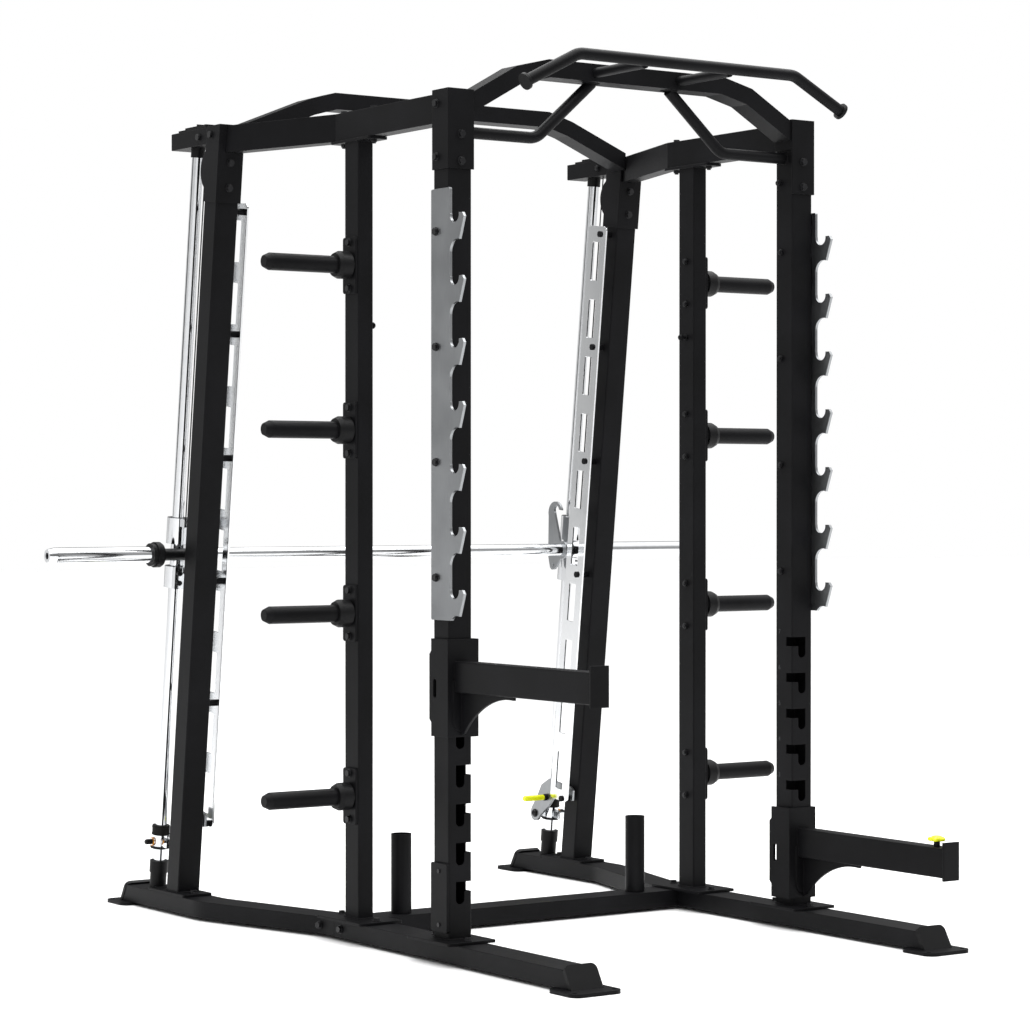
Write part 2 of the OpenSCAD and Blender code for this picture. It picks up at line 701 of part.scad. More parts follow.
module hook_outline(v) {
    difference() {
        polygon([[hook_edge + 4, v + 25], [-78, v + 25], [-86, v + 14], [-62, v - 50], [hook_edge + 4, v - 80]]);
        translate([-40, v + 22]) circle(22);
        translate([-62, v + 22]) square([44, 10]);
        translate([-52, v - 80]) circle(35);
        translate([-100, 0]) square([200, hook_plate_low]);
    }
}
module rack_hook_plates() {
    color(plate_grey) machine() both() difference() {
        translate([rack_x + post_w / 2, 0, 0]) side_plate(plate_t) {
            translate([(hook_edge + post_w) / 2, (hook_plate_low + hook_plate_high) / 2])
                rounded_rect(post_w - hook_edge, hook_plate_high - hook_plate_low, 5);
            for (k = [0:hook_count - 1]) hook_outline(valley_low + hook_step * k);
        }
        hook_bolt_places() bolt_hole(plate_t);
    }
}
horn_chamfer = 18;
horn_collar_w = 49;
module plate_horns() {
    color(black_coat) machine() both() horn_places() {
        rod_x(horn_d / 2 - 0.5, 0, horn_collar_w);
        rod_x(horn_d / 2, horn_collar_w, horn_len - horn_chamfer);
        translate([horn_len - horn_chamfer, 0, 0]) rotate([0, 90, 0])
            cylinder(r1 = horn_d / 2, r2 = horn_d / 2 - 8, h = horn_chamfer);
    }
}
module horn_collars() {
    color(black_plastic) machine() both() horn_places() difference() {
        union() {
            rod_x(33, 0, 7);
            rod_x(40, 7, horn_collar_w - 13);
            translate([horn_collar_w - 13, 0, 0]) rotate([0, 90, 0]) cylinder(r1 = 40, r2 = 34, h = 13);
        }
        rod_x(horn_d / 2 - 0.5 + running_fit, -eps, 60);
    }
}
module horn_plates() {
    color(black_coat) machine() both() difference() {
        horn_places() translate([-plate_t, 0, 0]) side_plate(plate_t)
            rounded_rect(post_w - 6, horn_plate_h, 8);
        horn_bolt_places() bolt_hole(plate_t);
    }
}
band_peg_z = 1762;
module band_pegs() {
    x = rack_x - mid_w / 2;
    color(black_coat) machine() both() translate([0, mid_y, band_peg_z]) {
        rod_x(5, x - 20, x + 6);
        rod_x(9, x - 4, x);
        translate([x - 28, 0, 0]) rotate([0, 90, 0]) cylinder(r1 = 6, r2 = 9.5, h = 4);
        rod_x(9.5, x - 24, x - 19);
    }
}
module upright_guard() {
    color(black_coat) machine() on_side(-1) difference() {
        translate([rack_x + post_w / 2, post_w / 2, 171]) side_plate(plate_t)
            rounded_rect(post_w + 4, 190, 6);
        guard_bolt_places() screw_hole(plate_t);
    }
}
module base_bolts() {
    color(zinc) machine() both() {
        base_bolt_places() bolt(base_t + tube_wall, false);
        splice_bolt_places() bolt(runner_w, false);
    }
}
module frame_bolts() {
    color(zinc) machine() both() {
        front_bracket_bolts() bolt(bracket_t + tube_wall);
        beam_end_bolts() bolt(post_w + 2 * bracket_t);
        mid_top_bolts() bolt(beam_h + plate_t);
        rod_bracket_bolts() bolt(bracket_t + tube_wall, false);
        rod_top_place() bolt(55, false);
        for (y = [front_sheave_y, rear_sheave_y]) sheave_place(y) {
            // the front axle ends flush under the rear crossbar, the rear one has a nut
            front = y == front_sheave_y;
            out = post_w / 2 + (front ? bracket_t : 0);
            rod_x(sheave_bore, -out - (front ? 0 : 9), out);
            rod_x(head_r, out, out + head_h);
            if (!front) translate([-out, 0, 0]) mirror([1, 0, 0]) rotate([0, 90, 0])
                cylinder(r = head_r, h = head_h, $fn = 6);
        }
    }
}
module plate_bolts() {
    color(zinc) machine() both() {
        horn_bolt_places() bolt(mid_w + plate_t);
        hook_bolt_places() bolt(post_w + plate_t);
    }
    color(zinc) machine() on_side(-1) guard_bolt_places() {
        cylinder(r = 6, h = 2.5);
        translate([0, 0, -plate_t - tube_wall]) cylinder(r = screw_r, h = plate_t + tube_wall + 1);
    }
}

// ---- lift cables and counterweights -------------------------------------------------------

function sheave_z(y) = (rod_beam_mid - y * sin(lean)) / cos(lean);
function cable_turn(y, from, to) = [for (k = [0:5]) let (a = from + (to - from) * k / 5)
    [y + sheave_pitch * cos(a), sheave_z(y) + sheave_pitch * sin(a)]];
module lift_cables() {
    path = concat([[cable_y, bar_rest + carriage_h / 2 - 6]],
        cable_turn(rear_sheave_y, 0, 90 - lean), cable_turn(front_sheave_y, 90 - lean, 180),
        [[drop_y, weight_low + weight_len - 6]]);
    color(black_plastic) machine() both() leaning() translate([smith_x, 0, 0])
        swept_cable(path, cable_r);
}
module counterweight(s) {
    color(zinc) machine() on_side(s) leaning() difference() {
        translate([smith_x - weight_w / 2, post_y - weight_w / 2, weight_low])
            cube([weight_w, weight_w, weight_len]);
        translate([smith_x, drop_y, weight_low - eps]) cylinder(r = 4.5, h = weight_len + 2 * eps);
    }
}
module counterweight_left() { counterweight(-1); }
module counterweight_right() { counterweight(1); }
module sheave(s, y) {
    color(black_plastic) machine() on_side(s) sheave_place(y) rotate([0, 90, 0]) difference() {
        translate([0, 0, -sheave_w / 2]) cylinder(r = sheave_r, h = sheave_w);
        translate([0, 0, -sheave_w]) cylinder(r = sheave_bore + running_fit, h = 2 * sheave_w);
        rotate_extrude() polygon([[sheave_pitch - 2.3, -2.3], [sheave_r + 1, -4.5],
            [sheave_r + 1, 4.5], [sheave_pitch - 2.3, 2.3]]);
    }
}
module sheave_front_left() { sheave(-1, front_sheave_y); }
module sheave_front_right() { sheave(1, front_sheave_y); }
module sheave_rear_left() { sheave(-1, rear_sheave_y); }
module sheave_rear_right() { sheave(1, rear_sheave_y); }

// ---- carriage and bar ---------------------------------------------------------------------

housing_top = 80;
housing_low = 66;
bearing_d = rod_d + 17;
carriage_low = bar_rest - carriage_h / 2;
carriage_high = bar_rest + carriage_h / 2;
housings = [[carriage_low, housing_low], [carriage_high - housing_top, housing_top]];
clamp_w = 44;
clamp_bolt_x = hub_out + 11.5;
module carriage(s) {
    color(bright) machine() on_side(s) leaning() difference() {
        union() {
            for (h = housings) translate([smith_x, 0, h[0]]) cylinder(d = housing_d, h = h[1]);
            block([hub_in, bar_y + 6, carriage_low], [hub_out, -12, carriage_high - 2]);
            translate([0, bar_y, bar_rest]) rod_x(hub_r, hub_in, hub_out);
            block([smith_x - clamp_w / 2, bar_y + 8, carriage_low],
                [smith_x + clamp_w / 2, -20, carriage_low + housing_low]);
            block([smith_x - 9, cable_y - 9, carriage_high - 24], [smith_x + 9, -26, carriage_high]);
        }
        translate([smith_x, 0, carriage_low - eps])
            cylinder(d = bearing_d, h = carriage_h + 2 * eps);
        translate([0, bar_y, bar_rest]) rod_x(journal_d / 2 + running_fit, hub_in - eps, hub_out + eps);
        translate([smith_x, cable_y, carriage_high - 40]) cylinder(r = 4, h = 60);
        for (w = clamp_heights) translate([clamp_bolt_x, bar_y, w]) rod_y(4.3, -eps, 21);
    }
}
clamp_heights = [carriage_low + 18, carriage_low + housing_low - 18];
module carriage_left() { carriage(-1); }
module carriage_right() { carriage(1); }
module linear_bearings() {
    color(zinc) machine() both() leaning() for (h = housings)
        translate([smith_x, 0, h[0] + 1]) difference() {
            cylinder(d = bearing_d, h = h[1] - 2);
            translate([0, 0, -eps]) cylinder(r = rod_d / 2 + running_fit, h = h[1]);
        }
}
module carriage_bolts() {
    color(zinc) machine() both() leaning() for (w = clamp_heights)
        translate([clamp_bolt_x, bar_y + 8, w]) {
            rod_y(4, -1, 12);
            rod_y(8, -7, 0);
        }
}
module bar_shaft() {
    color(bright) machine() leaning() translate([0, bar_y, bar_rest]) {
        rod_x(shaft_d / 2, -journal_in, journal_in);
        rod_x(journal_d / 2, -collar_in, collar_in);
        rod_x(stub_r, -sleeve_out + 22, sleeve_out - 22);
    }
}
module bar_collars() {
    color(black_plastic) machine() both() leaning() translate([0, bar_y, bar_rest]) difference() {
        union() {
            rod_x(bar_collar_d / 2 - 4, collar_in, sleeve_in);
            rod_x(bar_collar_d / 2, collar_in + 6, sleeve_in - 14);
        }
        rod_x(stub_r + running_fit, collar_in - eps, sleeve_in + eps);
    }
}
sleeve_taper = 24;
module bar_sleeves() {
    color(bright) machine() both() leaning() translate([0, bar_y, bar_rest]) difference() {
        union() {
            rod_x(sleeve_d / 2, sleeve_in, sleeve_out - sleeve_taper);
            translate([sleeve_out - sleeve_taper, 0, 0]) rotate([0, 90, 0])
                cylinder(r1 = sleeve_d / 2, r2 = sleeve_d / 2 - 5, h = sleeve_taper);
        }
        rod_x(stub_r + running_fit, sleeve_in - eps, sleeve_out - 14);
        rod_x(10, sleeve_out - 20, sleeve_out + eps);
    }
}
hook_ring = [50, 118];
hook_mouth = [43, 129];
module bar_hook_outline() {
    difference() {
        union() {
            translate(hook_ring) circle(38);
            polygon([[0, 0], [52, 122], [87, 122], [73, -28], [58, -68], [32, -70], [0, -28]]);
            translate([45, -58]) circle(15);
        }
        translate(hook_mouth) circle(14);
        polygon([[-30, 131], [hook_mouth.x - 2, 131], [53, 117], [14, 32], [-30, 32]]);
        translate([45, -58]) circle(6.5);
    }
    circle(30);
}
module bar_hooks() {
    color(plate_grey) machine() both() leaning() translate([0, bar_y, bar_rest]) difference() {
        union() {
            translate([hook_x - hook_t, 0, 0]) side_plate(hook_t) bar_hook_outline();
            rod_x(28, hook_x, hook_x + 10);
            translate([0, 45, -58]) {
                rod_x(6.5, hook_x - hook_t - 2, hook_x + 2);
                rod_x(9, hook_x, hook_x + 6);
            }
        }
        rod_x(shaft_d / 2 + 0.02, 0, 900);
    }
}

// ---- safety stops on the guide rods -------------------------------------------------------

knob_w = stop_low + 22;
module stop(s) {
    color(bright) machine() on_side(s) leaning() difference() {
        union() {
            translate([smith_x, 0, stop_low]) cylinder(r = stop_r, h = stop_h);
            translate([smith_x, 0, stop_low]) cylinder(r = stop_r + 2, h = 8);
            block([latch_x + 0.4, latch_y - 13, latch_z - 13], [smith_x, latch_y + 5, latch_z + 13]);
            block([smith_x - 12, -64, stop_low + 12], [smith_x + 12, 0, stop_low + 34]);
            translate([0, latch_y, latch_z]) rod_x(7, latch_x - latch_t - 5, smith_x - 20);
            translate([0, 0, knob_w]) rod_x(11, smith_x + 18, smith_x + stop_r + 6);
        }
        translate([smith_x, 0, stop_low - eps]) cylinder(r = rod_d / 2 + 0.4, h = stop_h + 2 * eps);
        translate([0, 0, knob_w]) rod_x(4.06, smith_x + 14, smith_x + stop_r + 10);
    }
}
module stop_left() { stop(-1); }
module stop_right() { stop(1); }
module stop_cushion(s) {
    color(black_plastic) machine() on_side(s) leaning()
        translate([smith_x, 0, stop_low + stop_h]) difference() {
            cylinder(r = cushion_r, h = cushion_h);
            translate([0, 0, -eps]) cylinder(r = rod_d / 2 + 0.4, h = cushion_h + 2 * eps);
        }
}
module stop_cushion_left() { stop_cushion(-1); }
module stop_cushion_right() { stop_cushion(1); }
nose_z = peg_heights[0] + peg_r + 0.5;
module latch_outline() {
    difference() {
        union() {
            translate([latch_y, latch_z]) circle(26);
            polygon([[latch_y - 26, latch_z - 6], [latch_y + 23, latch_z + 14], [14, 252], [-9, 300],
                [-50, nose_z + 34], [post_y - 12, nose_z + 30], [post_y - 28, nose_z + 20],
                [post_y - 28, nose_z - 14], [post_y - 14, nose_z - 14], [post_y - 14, nose_z],
                [-104, nose_z], [-62, 240]]);
        }
        translate([latch_y, latch_z]) circle(7 + running_fit);
        translate(latch_grip) circle(8);
    }
}
latch_grip = [-40, 262];
module latch(s) {
    color(plate_grey) machine() on_side(s) leaning()
        translate([latch_x - latch_t, 0, 0]) side_plate(latch_t) latch_outline();
}
module latch_left() { latch(-1); }
module latch_right() { latch(1); }
handle_len = 92;
module latch_handle(s) {
    color(yellow) machine() on_side(s) leaning() translate([0, latch_grip.x, latch_grip.y]) {
        rod_x(8, latch_x - latch_t, latch_x);
        rod_x(7, latch_x - latch_t - 16, latch_x - latch_t);
        rod_x(9.5, latch_x - latch_t - handle_len + 6, latch_x - latch_t - 12);
        translate([latch_x - latch_t - handle_len, 0, 0]) rotate([0, 90, 0])
            cylinder(r1 = 6, r2 = 9.5, h = 6);
    }
}
module latch_handle_left() { latch_handle(-1); }
module latch_handle_right() { latch_handle(1); }
module lock_knob(s) {
    x = smith_x + stop_r + 6.5;
    color(black_plastic) machine() on_side(s) leaning() translate([0, 0, knob_w]) {
        rod_x(4, smith_x + rod_d / 2 + 1, x);
        rod_x(8.5, x, x + 17);
        translate([x + 17, 0, 0]) rotate([0, 90, 0]) cylinder(r1 = 8.5, r2 = 6, h = 4);
    }
}
module lock_knob_left() { lock_knob(-1); }
module lock_knob_right() { lock_knob(1); }

// ---- spotter arms -------------------------------------------------------------------------

left_slot = 0;
right_slot = slot_count - 2;
function spotter_z(s) = slot_top - slot_step * (s < 0 ? left_slot : right_slot);
module cheek_outline() {
    difference() {
        polygon([[-plate_t, -180], [post_w, -180], [post_w, -142], [post_w + 9, -133],
            [post_w + 9, 45], [post_w, 54], [post_w, 88], [-plate_t, 88]]);
        translate([post_w - 18, -48]) rounded_rect(16, 52, 7.9);
    }
}
module spotter(s) {
    inner = rack_x - post_w / 2 - spotter_clear;
    outer = rack_x + post_w / 2 + spotter_clear;
    color(black_coat) machine() on_side(s) translate([0, 0, spotter_z(s)]) {
        difference() {
            union() {
                translate([inner - 17, 0, 0]) side_plate(plate_t) cheek_outline();
                translate([inner - 9.5, 0, 0]) side_plate(9.5) translate([post_w / 2 - 4, -46])
                    rounded_rect(60, 230, 6);
                translate([outer, 0, 0]) side_plate(plate_t) cheek_outline();
                block([inner - 17, -plate_t - spotter_clear, -180],
                    [outer + plate_t, -spotter_clear, 88]);
            }
            translate([inner - 30, post_w - 18, -48]) side_plate(31) rounded_rect(16, 52, 7.9);
        }
        // two hooks that hang in a pair of slots
        for (z = [0, -slot_step]) {
            translate([rack_x, 0, z + slot_w / 2]) rod_y(slot_w / 2 - 0.3, -spotter_clear - 1, tube_wall + 1.5);
            block([rack_x - slot_w / 2 - 8, tube_wall + 1, z + 0.3 - 12],
                [rack_x + slot_w / 2 + 8, tube_wall + 9, z + 24]);
        }
        // the arm, its root gusset and its end plate
        translate([rack_x, -spotter_clear - plate_t, -56.5 + arm_h / 2]) rotate([90, 0, 0])
            post_tube(arm_w, arm_h, arm_len - plate_t - spotter_clear);
        block([rack_x - 28.5, -arm_len - plate_t, -64], [rack_x + 28.5, -arm_len, 44]);
        translate([rack_x, -spotter_clear - plate_t, 0]) rotate([90, 0, 0]) linear_extrude(5) {
            translate([-31, -135]) square([62, 110]);
            translate([0, -135]) circle(31);
        }
        translate([rack_x - 4, 0, 0]) side_plate(8) difference() {
            polygon([[-plate_t - spotter_clear, -56.5], [-262, -56.5], [-262, -68],
                [-plate_t - spotter_clear, -175]]);
            translate([-240, -343.7]) circle(277.7, $fn = 96);
        }
    }
}
module spotter_left() { spotter(-1); }
module spotter_right() { spotter(1); }
knob_y = 52 - arm_len;
module spotter_knob() {
    top = spotter_z(1) - 56.5 + arm_h + 0.3;
    color(yellow) machine() translate([rack_x, knob_y, top]) {
        cylinder(r = 9, h = 15);
        translate([0, 0, 13]) cylinder(r = 14, h = 17);
        for (k = [0:4]) rotate([0, 0, 72 * k]) translate([18, 0, 16]) cylinder(r = 8.5, h = 11);
    }
}

front_runners();
rear_runners();
cross_member();
foot_plates();
foot_caps();
bar_holders();
front_upright_left();
front_upright_right();
mid_uprights();
rod_upright_left();
rod_upright_right();
top_beams();
rear_crossbar();
front_crossbeam();
pull_up_bar();
bar_end_caps();
inner_grips();
rod_beams();
guide_rods();
rod_cups();
catch_plates();
catch_pegs();
rack_hook_plates();
plate_horns();
horn_collars();
horn_plates();
band_pegs();
upright_guard();
base_bolts();
frame_bolts();
plate_bolts();
top_brackets();
lift_cables();
carriage_left();
carriage_right();
linear_bearings();
carriage_bolts();
bar_shaft();
bar_sleeves();
bar_collars();
bar_hooks();
counterweight_left();
counterweight_right();
sheave_front_left();
sheave_front_right();
sheave_rear_left();
sheave_rear_right();
stop_left();
stop_right();
stop_cushion_left();
stop_cushion_right();
latch_left();
latch_right();
latch_handle_left();
latch_handle_right();
lock_knob_left();
lock_knob_right();
spotter_left();
spotter_right();
spotter_knob();
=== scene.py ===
# %% [markdown]
# A smith machine is a welded and bolted steel frame with a barbell that is held on two
# guide rods. The steel frame comes ready made, as the fixed model that this lesson starts
# from. The lesson adds what makes it look real: finishes, bent bars, cables, weld beads and
# small fittings. Everything is in metres, with the open front of the rack facing -Y.

# %% Load the fixed frame
import math
import bmesh
import bpy
from mathutils import Matrix, Vector


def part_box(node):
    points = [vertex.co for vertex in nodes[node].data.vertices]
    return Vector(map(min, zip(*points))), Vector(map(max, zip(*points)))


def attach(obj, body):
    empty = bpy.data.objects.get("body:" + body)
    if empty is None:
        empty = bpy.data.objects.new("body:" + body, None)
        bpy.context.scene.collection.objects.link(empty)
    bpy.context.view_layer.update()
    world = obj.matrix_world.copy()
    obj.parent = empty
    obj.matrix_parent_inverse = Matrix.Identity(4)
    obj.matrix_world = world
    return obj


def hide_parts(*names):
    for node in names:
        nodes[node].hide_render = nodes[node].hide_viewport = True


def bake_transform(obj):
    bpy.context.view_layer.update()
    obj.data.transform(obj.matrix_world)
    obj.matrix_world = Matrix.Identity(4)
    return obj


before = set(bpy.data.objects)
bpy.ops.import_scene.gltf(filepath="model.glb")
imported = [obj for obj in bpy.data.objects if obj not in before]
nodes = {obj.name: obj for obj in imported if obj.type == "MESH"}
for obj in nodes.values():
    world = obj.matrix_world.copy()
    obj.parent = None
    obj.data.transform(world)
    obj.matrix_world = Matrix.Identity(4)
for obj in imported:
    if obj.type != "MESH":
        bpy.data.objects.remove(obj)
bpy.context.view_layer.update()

# %% [markdown]
# The machine was drawn in millimetres from the front face of its front uprights and the
# underside of its base. These two functions turn such a place into the frame's metres, one
# for the upright rack and one for everything that leans with the guide rods.

# %% Places
MM = 0.001
RACK_X = 608.5
SMITH_X = 746.0
POST = 75.0
MIDDLE_Y = 527.5
FOOT_T = 10.0
LEAN = math.radians(6.65)
ROD_FOOT_Y = 1500.0


def rack(x, y, z):
    return Vector((x, y - MIDDLE_Y, z + FOOT_T)) * MM


def rods(x, y, along):
    back = ROD_FOOT_Y + y * math.cos(LEAN) - along * math.sin(LEAN)
    return rack(x, back, y * math.sin(LEAN) + along * math.cos(LEAN))


UP_RODS = Vector((0, -math.sin(LEAN), math.cos(LEAN)))
print("foot of the right guide rod", [round(v, 3) for v in rods(SMITH_X, 0, 0)])

# %% [markdown]
# Colours are given as hex values on a screen, and a renderer works in linear light, so one
# function turns the first into the second. Another adds one node to a material with its
# settings and links, which keeps every material below short enough to read.

# %% Colour and node helpers


def linear(hex_colour):
    parts = [int(hex_colour[i:i + 2], 16) / 255 for i in (1, 3, 5)]
    return tuple(c / 12.92 if c <= 0.04045 else ((c + 0.055) / 1.055) ** 2.4 for c in parts) + (1.0,)


def add(tree, kind, settings=(), **inputs):
    node = tree.nodes.new(kind)
    for name, value in dict(settings).items():
        setattr(node, name, value)
    for name, value in inputs.items():
        socket = node.inputs[int(name[1:])] if name[1:].isdigit() else node.inputs[name.replace("_", " ")]
        if isinstance(value, bpy.types.NodeSocket):
            tree.links.new(value, socket)
        else:
            socket.default_value = value
    return node


def new_material(name):
    material = bpy.data.materials.new(name)
    material.use_nodes = True
    tree = material.node_tree
    tree.nodes.clear()
    surface = add(tree, "ShaderNodeBsdfPrincipled")
    output = add(tree, "ShaderNodeOutputMaterial")
    tree.links.new(surface.outputs[0], output.inputs[0])
    place = add(tree, "ShaderNodeTexCoord").outputs["Object"]
    return material, tree, surface, place


def set_all(surface, **values):
    for name, value in values.items():
        surface.inputs[name.replace("_", " ")].default_value = value


print("black paint, linear", [round(c, 4) for c in linear("#1c1c1e")])

# %% [markdown]
# The frame is powder coated: black polyester powder is sprayed on and baked. It flows into a
# skin with a fine orange-peel grain and a soft sheen that brightens at rounded edges. The
# grain is about half a millimetre across, too fine to show at this distance, so it is drawn
# about 2 mm across. A bevel node rounds each edge by 3 mm for the light only, which stands
# for the rounded corners of rolled tube.

# %% Powder coat
GRAIN_MM = 2.0
EDGE_ROUND = 0.003


def powder_coat(name, base, rub, rough):
    material, tree, surface, place = new_material(name)
    clouds = add(tree, "ShaderNodeTexNoise", Vector=place, Scale=6.0, Detail=4.0)
    tint = add(tree, "ShaderNodeValToRGB", i0=clouds.outputs[0])
    tint.color_ramp.elements[0].color = linear(base)
    tint.color_ramp.elements[0].position = 0.35
    tint.color_ramp.elements[1].color = linear(rub)
    tint.color_ramp.elements[1].position = 0.75
    tree.links.new(tint.outputs[0], surface.inputs["Base Color"])
    grain = add(tree, "ShaderNodeTexNoise", Vector=place, Scale=1000 / GRAIN_MM, Detail=2.0)
    sheen = add(tree, "ShaderNodeMapRange", Value=grain.outputs[0], To_Min=rough - 0.06, To_Max=rough + 0.08)
    tree.links.new(sheen.outputs[0], surface.inputs["Roughness"])
    edge = add(tree, "ShaderNodeBevel", {"samples": 4}, Radius=EDGE_ROUND)
    bump = add(tree, "ShaderNodeBump", Height=grain.outputs[0], Strength=0.25, Distance=0.0002,
               Normal=edge.outputs[0])
    tree.links.new(bump.outputs[0], surface.inputs["Normal"])
    set_all(surface, IOR=1.5, Specular_IOR_Level=0.08)
    return material


black_coat = powder_coat("black powder coat", "#0e0e0f", "#141416", 0.42)
print("powder coat grain", GRAIN_MM, "mm")

# %% [markdown]
# Collars, cups and end caps are injection moulded in black polypropylene. The mould is spark
# eroded, so the skin has a fine matt leathery grain and is a little rougher than the paint.
# The stop cushions are moulded rubber: softer black, duller still, with a dusty bloom.

# %% Moulded black plastic and rubber


def moulded(name, dark, light, rough, grain_mm, bump_mm, gloss=0.14):
    material, tree, surface, place = new_material(name)
    grain = add(tree, "ShaderNodeTexVoronoi", Vector=place, Scale=1000 / grain_mm)
    cloud = add(tree, "ShaderNodeTexNoise", Vector=place, Scale=18.0, Detail=3.0)
    tint = add(tree, "ShaderNodeValToRGB", i0=cloud.outputs[0])
    tint.color_ramp.elements[0].color = linear(dark)
    tint.color_ramp.elements[1].color = linear(light)
    tree.links.new(tint.outputs[0], surface.inputs["Base Color"])
    worn = add(tree, "ShaderNodeMapRange", Value=cloud.outputs[0], To_Min=rough - 0.08, To_Max=rough + 0.08)
    tree.links.new(worn.outputs[0], surface.inputs["Roughness"])
    bump = add(tree, "ShaderNodeBump", Height=grain.outputs[0], Strength=0.3, Distance=bump_mm * MM)
    tree.links.new(bump.outputs[0], surface.inputs["Normal"])
    set_all(surface, IOR=1.49, Specular_IOR_Level=gloss)
    return material


black_plastic = moulded("moulded black polypropylene", "#0c0c0d", "#131314", 0.44, 1.6, 0.15)
rubber = moulded("moulded black rubber", "#0e0e0e", "#161514", 0.62, 2.4, 0.3)
cable_jacket = moulded("black vinyl cable jacket", "#0b0b0c", "#131314", 0.38, 2.0, 0.1)
grip_yellow = moulded("glossy yellow plastic", "#d3d90a", "#e6ea1c", 0.26, 3.0, 0.05, 0.5)
print("plastics", black_plastic.name, grip_yellow.name)

# %% [markdown]
# Guide rods, carriages, stops and the bar are hard chrome plated steel, ground and polished.
# Chrome is almost a mirror with a faint blue-grey tint. Grinding leaves very fine rings
# round a rod, seen only as a slight spread of its highlights, so the roughness varies a
# little with long soft streaks.

# %% Polished chrome


def chrome_surface(tree, surface, place):
    streaks = add(tree, "ShaderNodeTexNoise", Vector=place, Scale=40.0, Detail=3.0)
    haze = add(tree, "ShaderNodeMapRange", Value=streaks.outputs[0], To_Min=0.05, To_Max=0.15)
    tint = add(tree, "ShaderNodeValToRGB", i0=streaks.outputs[0])
    tint.color_ramp.elements[0].color = linear("#d4d6d9")
    tint.color_ramp.elements[1].color = linear("#e6e7e8")
    set_all(surface, Metallic=1.0)
    return tint.outputs[0], haze.outputs[0]


chrome, tree, surface, place = new_material("polished hard chrome")
tint, haze = chrome_surface(tree, surface, place)
tree.links.new(tint, surface.inputs["Base Color"])
tree.links.new(haze, surface.inputs["Roughness"])
print("chrome", chrome.name)

# %% [markdown]
# The bar is one turned piece, chromed between the carriages and blackened at its journals,
# where it passes through the carriages to the collars. The change is at a fixed distance
# from the middle, so the material asks each point how far along X it lies.

# %% Bar with blackened journals
JOURNAL_START = 0.7007
bar_finish, tree, surface, place = new_material("chromed bar with blackened journals")
tint, haze = chrome_surface(tree, surface, place)
across = add(tree, "ShaderNodeSeparateXYZ", Vector=place)
out = add(tree, "ShaderNodeMath", {"operation": "ABSOLUTE"}, i0=across.outputs[0])
black = add(tree, "ShaderNodeMath", {"operation": "GREATER_THAN"}, i0=out.outputs[0], i1=JOURNAL_START)
colour = add(tree, "ShaderNodeMix", {"data_type": "RGBA"}, i0=black.outputs[0], i6=tint, i7=linear("#1a1a1b"))
rough = add(tree, "ShaderNodeMapRange", Value=black.outputs[0], To_Min=0.09, To_Max=0.32)
metal = add(tree, "ShaderNodeMapRange", Value=black.outputs[0], To_Min=1.0, To_Max=0.6)
tree.links.new(colour.outputs[2], surface.inputs["Base Color"])
tree.links.new(rough.outputs[0], surface.inputs["Roughness"])
tree.links.new(metal.outputs[0], surface.inputs["Metallic"])
print("journals start at", JOURNAL_START, "m")

# %% [markdown]
# Rack hooks, catch plates, bar hooks and latches are laser cut from thick plate and zinc
# plated. Rolling and tumbling leave a satin face with faint long scratches, and the cut edge
# is brighter. The scratches are drawn as noise that is stretched along the plate, about
# 1.5 mm across so that they show, and the bevel node catches light on the cut edges.

# %% Satin plated steel
SCRATCH_MM = 1.5


def satin_steel(name, dark, light, low, high, metallic):
    material, tree, surface, place = new_material(name)
    longways = add(tree, "ShaderNodeMapping", Vector=place, Scale=(1.0, 1.0, 0.03))
    scratches = add(tree, "ShaderNodeTexNoise", Vector=longways.outputs[0], Scale=1000 / SCRATCH_MM,
                    Detail=3.0)
    cloud = add(tree, "ShaderNodeTexNoise", Vector=place, Scale=9.0, Detail=3.0)
    both = add(tree, "ShaderNodeMix", i0=0.6, i2=scratches.outputs[0], i3=cloud.outputs[0])
    tint = add(tree, "ShaderNodeValToRGB", i0=both.outputs[0])
    tint.color_ramp.elements[0].color = linear(dark)
    tint.color_ramp.elements[0].position = 0.3
    tint.color_ramp.elements[1].color = linear(light)
    tint.color_ramp.elements[1].position = 0.7
    tree.links.new(tint.outputs[0], surface.inputs["Base Color"])
    rough = add(tree, "ShaderNodeMapRange", Value=both.outputs[0], From_Min=0.3, From_Max=0.7,
                To_Min=low, To_Max=high)
    tree.links.new(rough.outputs[0], surface.inputs["Roughness"])
    edge = add(tree, "ShaderNodeBevel", {"samples": 4}, Radius=0.0012)
    bump = add(tree, "ShaderNodeBump", Height=scratches.outputs[0], Strength=0.12, Distance=0.0001,
               Normal=edge.outputs[0])
    tree.links.new(bump.outputs[0], surface.inputs["Normal"])
    set_all(surface, Metallic=metallic)
    return material


hook_steel = satin_steel("satin zinc plate", "#8a8c8e", "#9c9ea0", 0.28, 0.40, 1.0)
catch_steel = satin_steel("bright zinc plate", "#dfe1e3", "#eeeff0", 0.10, 0.17, 1.0)
bolt_steel = satin_steel("blackened bolt steel", "#141416", "#222224", 0.30, 0.42, 0.5)
weight_steel = satin_steel("hot rolled black steel", "#2b2b2d", "#3a3a3c", 0.5, 0.62, 0.8)
brass = satin_steel("turned brass", "#b8772b", "#cf9240", 0.22, 0.32, 1.0)
print("plated steels", hook_steel.name, catch_steel.name)

# %% [markdown]
# Each fixed node now takes its finish. Going through a table by finish shows at a glance
# which pieces share one, and a check at the end finds any node that was forgotten.

